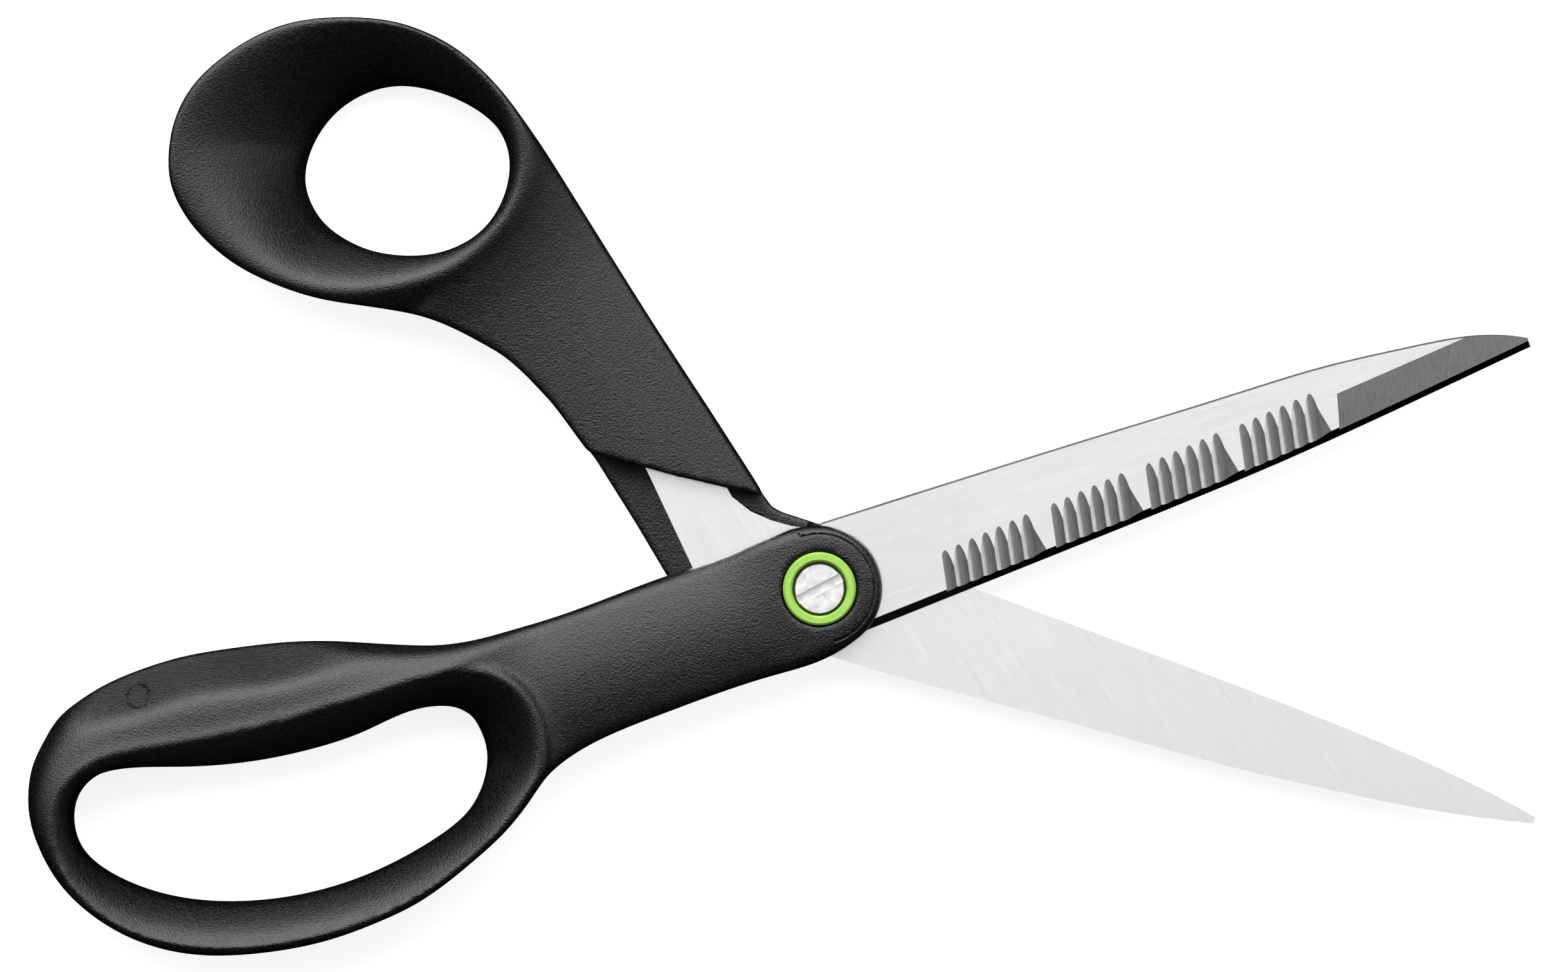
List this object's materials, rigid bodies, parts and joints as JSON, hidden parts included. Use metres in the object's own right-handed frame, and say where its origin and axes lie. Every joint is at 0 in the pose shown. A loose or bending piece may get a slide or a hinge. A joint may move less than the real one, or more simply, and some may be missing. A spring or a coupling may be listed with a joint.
{
  "type": "general-purpose scissors",
  "caption": "Scissors with moulded finger and thumb loops, a slotted pivot screw in a bright bush, and ground flutes on one blade.",
  "frame": {"origin": "on the pivot axis, in the plane of the back faces that the scissors lie on", "axes": "+X from the pivot between the two blade tips, +Z along the pivot axis out of the front face, +Y towards the thumb loop"},
  "size_m": [0.2027, 0.1256, 0.0124],
  "materials": {
    "blade_steel": "fine lengthwise brushing, flutes and bevel ground",
    "screw_steel": "satin, turned",
    "handle_plastic": "matte black, fine moulded grain",
    "bush_plastic": "lime green, semi-gloss",
    "washer_plastic": "natural slide washer"
  },
  "bodies": {
    "finger_half": {"fluted_blade": "blade_steel", "finger_handle": "handle_plastic", "pivot_bush": "bush_plastic"},
    "thumb_half": {"plain_blade": "blade_steel", "thumb_handle": "handle_plastic", "pivot_nut": "screw_steel", "pivot_washer": "washer_plastic"},
    "adjusting_screw": {"pivot_screw": "screw_steel"}
  },
  "joints": [
    {"name": "blade_pivot", "type": "hinge", "parent": "finger_half", "child": "thumb_half", "pos_m": [0, 0, 0.0055], "axis": [0, 0, 1], "range_deg": [-57.9, 37.1]},
    {"name": "screw_turn", "type": "hinge", "parent": "thumb_half", "child": "adjusting_screw", "pos_m": [0, 0, 0.0055], "axis": [0, 0, 1], "range_deg": [-90, 90]}
  ]
}
